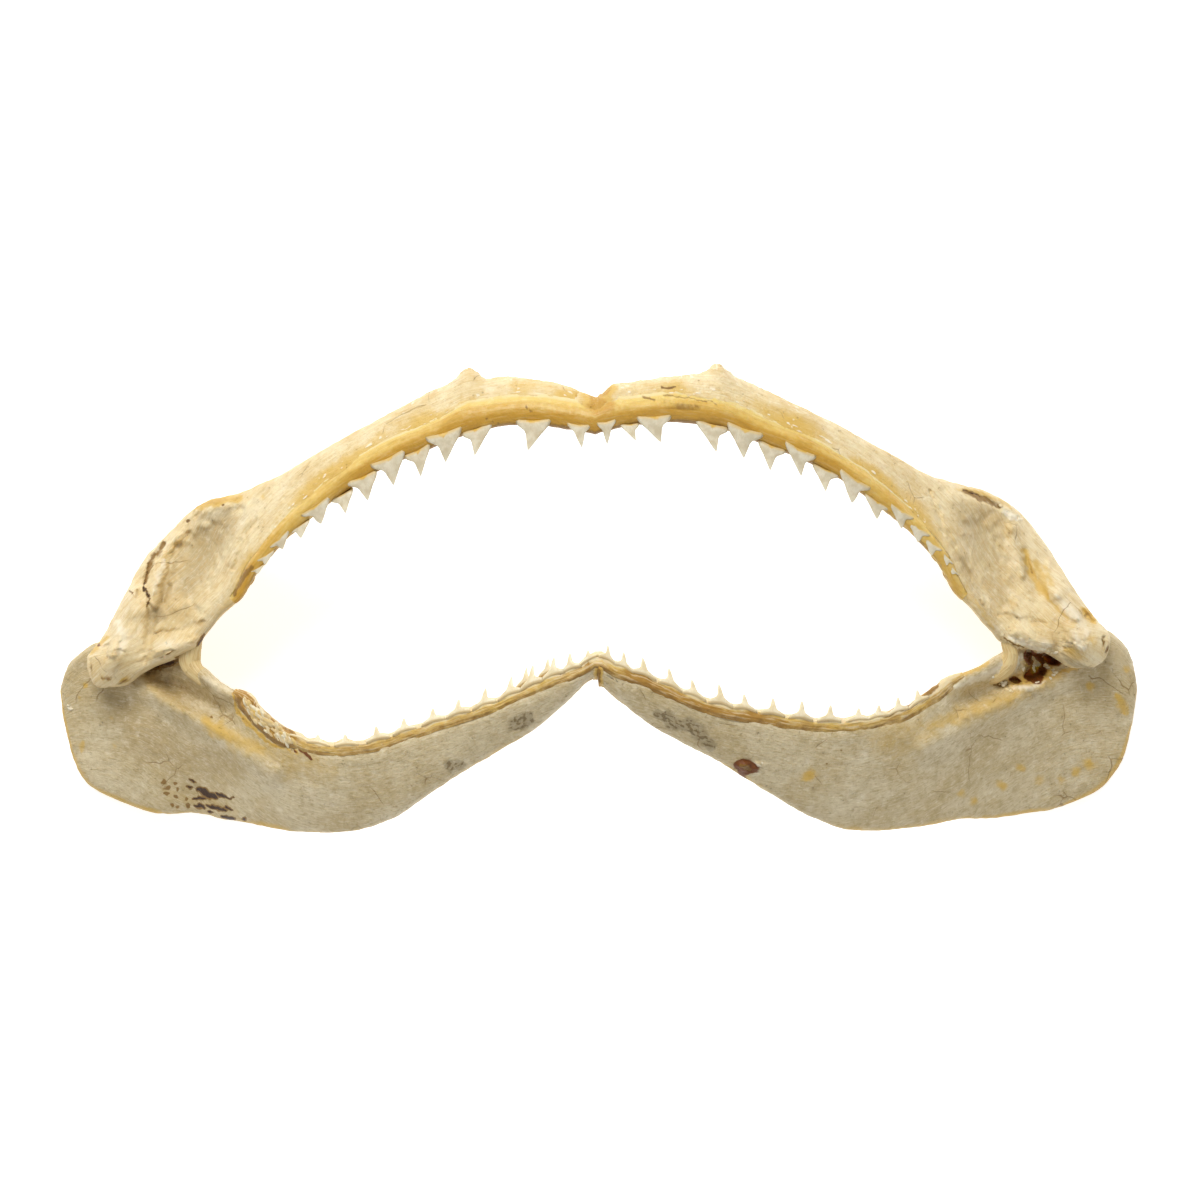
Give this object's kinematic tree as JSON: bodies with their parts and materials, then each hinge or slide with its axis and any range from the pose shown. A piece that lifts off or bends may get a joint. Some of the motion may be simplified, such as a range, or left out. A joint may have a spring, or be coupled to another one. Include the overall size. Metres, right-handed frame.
{
  "type": "dried shark jaws",
  "caption": "Dried jaws of a small requiem shark, gaping and spread flat, with the toothed gum bands and ligaments, lying on their back.",
  "frame": {"origin": "on the table plane, under the middle of the jaws' bounding box, on the midline of both jaws", "axes": "+X to the shark's left (the right of someone who looks into the mouth), +Y dorsal, from the lower jaw to the upper jaw, +Z forward out of the mouth, up from the table"},
  "size_m": [0.3456, 0.1444, 0.09],
  "materials": {
    "cartilage": "dried, slightly greasy cartilage, pale straw with amber margins",
    "gum": "dried gum skin, amber above and cream below",
    "teeth": "glossy ivory enamel",
    "ligament": "dried brown ligament, slightly glossy"
  },
  "bodies": {
    "root": {"upper_symphysis_ligament": "ligament", "lower_symphysis_ligament": "ligament", "upper_jaw_right": "cartilage", "lower_jaw_right": "cartilage", "upper_gum_and_teeth_right": "gum", "lower_gum_and_teeth_right": "gum", "jaw_joint_ligament_right": "ligament", "upper_jaw_left": "cartilage", "lower_jaw_left": "cartilage", "upper_gum_and_teeth_left": "gum", "lower_gum_and_teeth_left": "gum", "jaw_joint_ligament_left": "ligament"}
  },
  "joints": []
}
